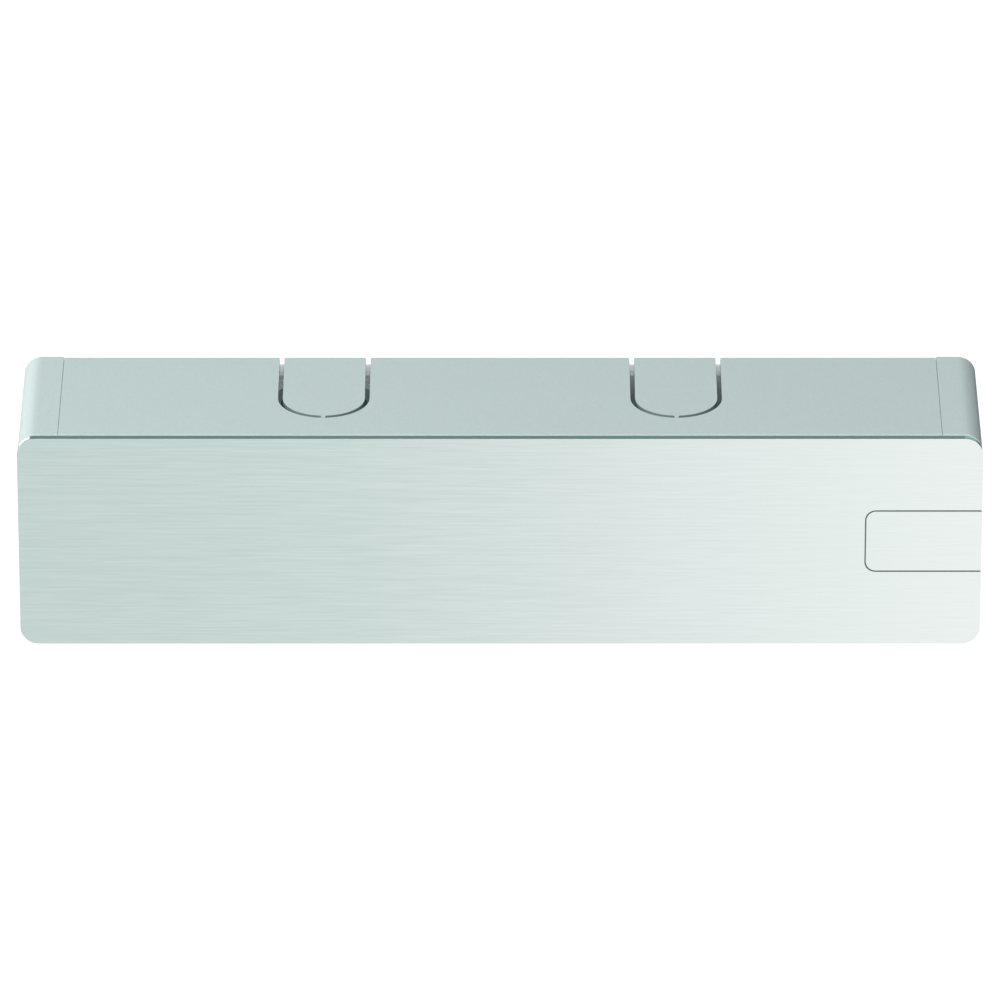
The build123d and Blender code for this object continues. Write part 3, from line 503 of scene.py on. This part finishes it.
# Brushed stainless steel: a pale satin grey. The brush leaves fine scratches along the plate,
# so it smears reflections up and down but keeps them apart from left to right.
brush_line_mm = 0.5
brush_run_mm = 18.0
brushed_steel, tree, shader = new_material(
    "brushed_stainless_steel",
    "EAEFED",
    {"Metallic": 1.0, "Roughness": 0.2, "Anisotropic": 0.9},
)
scratches = noise(
    tree, [per_mm / brush_run_mm, per_mm / brush_line_mm, per_mm / brush_line_mm], 3.0
)
scratched = tint(tree, shader, scratches, "E7ECEA", "EDF2F0")
vary(tree, shader, "Roughness", scratches, 0.17, 0.23)
across_brush = add_node(tree, "ShaderNodeCombineXYZ", {"Z": 1.0})
upright = add_node(
    tree,
    "ShaderNodeVectorTransform",
    {"vector_type": "VECTOR", "convert_from": "OBJECT", "convert_to": "WORLD"},
    {"Vector": across_brush.outputs["Vector"]},
)
tree.links.new(upright.outputs["Vector"], shader.inputs["Tangent"])
# The blanked edge isn't brushed but matt: pale where the punch cut it, and behind that a painted
# shade, a dark teal grey that stands for the shade in the gap behind the plate.
edge_colour = "D6E1DF"
painted_shade_edge_colour = "5E7270"
cut_depth = 0.00018
face_slope = 0.4
brushed = beyond(tree, "Normal", "Y", face_slope, both_ways=True)
shaded_back_edge = beyond(tree, "Object", "Y", cad_box[0].y + cut_depth)
with_edges = layered(tree, edge_colour, (shaded_back_edge, painted_shade_edge_colour), (brushed, scratched))
tree.links.new(with_edges, shader.inputs["Base Color"])
tree.links.new(brushed, shader.inputs["Metallic"])
dress(brushed_steel, "front_plate", "badge_plate")

# Badge line: a painted shade, a dark flat strip on the carrier that stands for the shade at the
# bottom of the gap round the badge. It follows the gap and goes off at the right.
badge_length = 0.0339
badge_half_height = 0.00975
badge_middle = 0.00025
badge_corner = 0.003
gap_width = 0.00043
shade_strip_thickness = 0.0001
plate_thickness = 0.00055
end_clearance = 0.0005
carrier_face = cad_box[0].y + plate_thickness
right_end = cad_box[1].x - end_clearance
corner_steps = 8


def badge_path(growth):
    """Points of the badge's outline, grown by a distance, from its upper to its lower end."""
    radius = badge_corner + growth
    points = [(right_end, badge_half_height + growth)]
    centre_x = cad_box[1].x - badge_length + badge_corner
    for side, first_angle in ((1, 90.0), (-1, 180.0)):
        for step in range(corner_steps + 1):
            angle = math.radians(first_angle + 90.0 * step / corner_steps)
            centre_z = side * (badge_half_height - badge_corner)
            points.append(
                (centre_x + radius * math.cos(angle), centre_z + radius * math.sin(angle))
            )
    points.append((right_end, -badge_half_height - growth))
    return points


outer, inner = badge_path(gap_width / 2), badge_path(-gap_width / 2)
shade_strip_corners = [
    (x, y, z + badge_middle)
    for y in (carrier_face - shade_strip_thickness, carrier_face)
    for path in (outer, inner)
    for x, z in path
]
count = len(outer)
shade_strip_faces = []
for k in range(count - 1):
    a, b, c, d = k, k + 1, count + k + 1, count + k
    behind_by = 2 * count
    shade_strip_faces += [
        (d, c, b, a),
        (a + behind_by, b + behind_by, c + behind_by, d + behind_by),
        (a, b, b + behind_by, a + behind_by),
        (d + behind_by, c + behind_by, c, d),
    ]
for k in (0, count - 1):
    ends = (k, count + k, 3 * count + k, 2 * count + k)
    shade_strip_faces.append(ends[::-1] if k == 0 else ends)
shade_strip_mesh = bpy.data.meshes.new("badge_gap_painted_shade")
shade_strip_mesh.from_pydata(shade_strip_corners, [], shade_strip_faces)
shade_strip = bpy.data.objects.new("badge_gap_painted_shade", shade_strip_mesh)
bpy.context.scene.collection.objects.link(shade_strip)

# Painted shade for the badge gap: dull and teal-grey, a little darker in random patches.
badge_gap_shade, tree, shader = new_material(
    "painted_shade_in_badge_gap", "5F7876", {"Roughness": 0.6}
)
blotch_mm = 0.8
blotches = noise(tree, [per_mm / blotch_mm] * 3)
tint(tree, shader, blotches, "5A7270", "647E7C")
shade_strip_mesh.materials.append(badge_gap_shade)
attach(shade_strip, "cover")

# Floor and backdrop: a wide pale floor as far below the part as under a real door. To the
# camera, floor and room are white, and the floor keeps the part's shadow.
floor_drop = 1.9
floor_half = 8.0
floor_level = cad_box[0].z - floor_drop
corners = [
    (-floor_half, -floor_half, floor_level),
    (floor_half, -floor_half, floor_level),
    (floor_half, floor_half, floor_level),
    (-floor_half, floor_half, floor_level),
]
floor_mesh = bpy.data.meshes.new("floor")
floor_mesh.from_pydata(corners, [], [(0, 1, 2, 3)])
floor = bpy.data.objects.new("floor", floor_mesh)
bpy.context.scene.collection.objects.link(floor)
floor.visible_glossy = False

# Matt studio paper: white and even. A little light of its own, to the camera only, keeps it
# from turning grey far from the lamps.
paper, tree, shader = new_material("matt_studio_paper", "F2F3F3", {"Roughness": 0.9})
paper_lift = 0.75
rays = add_node(tree, "ShaderNodeLightPath")
lift = add_node(
    tree,
    "ShaderNodeMath",
    {"operation": "MULTIPLY", 1: paper_lift},
    {0: rays.outputs["Is Camera Ray"]},
)
glow = add_node(tree, "ShaderNodeEmission", {}, {"Strength": lift.outputs["Value"]})
both = add_node(
    tree,
    "ShaderNodeAddShader",
    {},
    {0: shader.outputs["BSDF"], 1: glow.outputs["Emission"]},
)
output = tree.nodes["Material Output"]
tree.links.new(both.outputs["Shader"], output.inputs["Surface"])
floor_mesh.materials.append(paper)

# Room: an even white tent. Metal in it sees a paler right side and a darker left side in front,
# and behind it teal flags and, at the left, a white panel, which polished faces mirror.
room = bpy.data.worlds.new("white_tent")
bpy.context.scene.world = room
room.use_nodes = True
tree = room.node_tree
room_light = 0.36
left_to_right_fall = 0.5
front_left = "CBD8D7"
white = "FFFFFF"
tent_light = 1.09
panel_light = 1.3
flag_colour = "6F8482"
right_flag_colour = "99AEAB"
low_flag_colour = "0A3534"
rays = add_node(tree, "ShaderNodeLightPath")
direction = add_node(
    tree,
    "ShaderNodeSeparateXYZ",
    {},
    {"Vector": add_node(tree, "ShaderNodeTexCoord").outputs["Generated"]},
)
# Zones of the tent, each by the direction of the look: the axis, where the zone starts, and
# where it is full.
zones = {
    "to_the_right": ("X", -0.02, 0.045),
    "just_right": ("X", 0.055, 0.075),
    "on_the_right": ("X", 0.03, 0.2),
    "not_left": ("X", -0.31, -0.27),
    "far_left": ("X", -0.27, -0.31),
    "behind": ("Y", 0.2, 0.6),
    "above": ("Z", 0.1, 0.38),
    "below": ("Z", 0.1, -0.25),
}
share = {}
for zone, (axis, start, full) in zones.items():
    share[zone] = add_node(
        tree,
        "ShaderNodeMapRange",
        {"interpolation_type": "SMOOTHSTEP", "From Min": start, "From Max": full},
        {"Value": direction.outputs[axis]},
    ).outputs["Result"]
for zone, operation, first, second in (
    ("above_or_right", "MAXIMUM", "above", "on_the_right"),
    ("behind_and_not_left", "MULTIPLY", "behind", "not_left"),
    ("flag", "MULTIPLY", "behind_and_not_left", "above_or_right"),
    ("behind_and_below", "MULTIPLY", "behind", "below"),
    ("low_flag", "MULTIPLY", "behind_and_below", "just_right"),
    ("panel", "MULTIPLY", "behind", "far_left"),
):
    share[zone] = add_node(
        tree,
        "ShaderNodeMath",
        {"operation": operation},
        {0: share[first], 1: share[second]},
    ).outputs["Value"]
flags = layered(tree, flag_colour, (share["just_right"], right_flag_colour))
seen_by_metal = layered(
    tree,
    front_left,
    (share["to_the_right"], white),
    (share["flag"], flags),
    (share["low_flag"], low_flag_colour),
    (share["panel"], white),
)
seen = layered(
    tree,
    white,
    (rays.outputs["Is Glossy Ray"], seen_by_metal),
    (rays.outputs["Is Camera Ray"], white),
)
from_the_left = add_node(
    tree,
    "ShaderNodeMapRange",
    {
        "From Min": -1.0,
        "From Max": 1.0,
        "To Min": room_light * (1 + left_to_right_fall),
        "To Max": room_light * (1 - left_to_right_fall),
    },
    {"Value": direction.outputs["X"]},
)
looked_at = add_node(
    tree,
    "ShaderNodeMath",
    {"operation": "MAXIMUM"},
    {0: rays.outputs["Is Camera Ray"], 1: rays.outputs["Is Glossy Ray"]},
)
seen_light = add_node(
    tree,
    "ShaderNodeMapRange",
    {"To Min": tent_light, "To Max": panel_light},
    {"Value": share["panel"]},
)
strength = add_node(
    tree,
    "ShaderNodeMix",
    {"data_type": "FLOAT"},
    {
        0: looked_at.outputs["Value"],
        2: from_the_left.outputs["Result"],
        3: seen_light.outputs["Result"],
    },
)
background = tree.nodes["Background"]
tree.links.new(seen, background.inputs["Color"])
tree.links.new(strength.outputs[0], background.inputs["Strength"])

# Lamps: a soft box close by on the left, which gives the caps their lighter left corner, and a
# larger one up in front, which reaches through the knock-out slots to the plate behind.
middle = (cad_box[0] + cad_box[1]) / 2


def soft_box(name, place, size, watts):
    """A square lamp that faces the part."""
    lamp = bpy.data.lights.new(name, "AREA")
    lamp.size = size
    lamp.energy = watts
    holder = bpy.data.objects.new(name, lamp)
    bpy.context.scene.collection.objects.link(holder)
    holder.location = place
    holder.rotation_mode = "QUATERNION"
    holder.rotation_quaternion = (middle - Vector(place)).to_track_quat("-Z", "Y")
    holder.visible_glossy = False
    return holder


soft_box("side_light", place=(-1.0, -0.3, 0.7), size=0.6, watts=8.0)
soft_box("front_light", place=(0.0, -2.06, 1.7), size=0.7, watts=46.0)

# Camera: a long lens, level from left to right, looking down at the part from the front.
elevation = math.radians(25.664)
distance = 3.1508
aim = Vector((0.0, -0.02925, 0.00014))
camera_data = bpy.data.cameras.new("camera")
camera_data.lens = 385.77
camera_data.sensor_width = 36.0
camera = bpy.data.objects.new("camera", camera_data)
bpy.context.scene.collection.objects.link(camera)
camera.location = aim + distance * Vector((0.0, -math.cos(elevation), math.sin(elevation)))
camera.rotation_mode = "QUATERNION"
camera.rotation_quaternion = (aim - camera.location).to_track_quat("-Z", "Y")
bpy.context.scene.camera = camera
bpy.context.scene.view_settings.view_transform = "Standard"
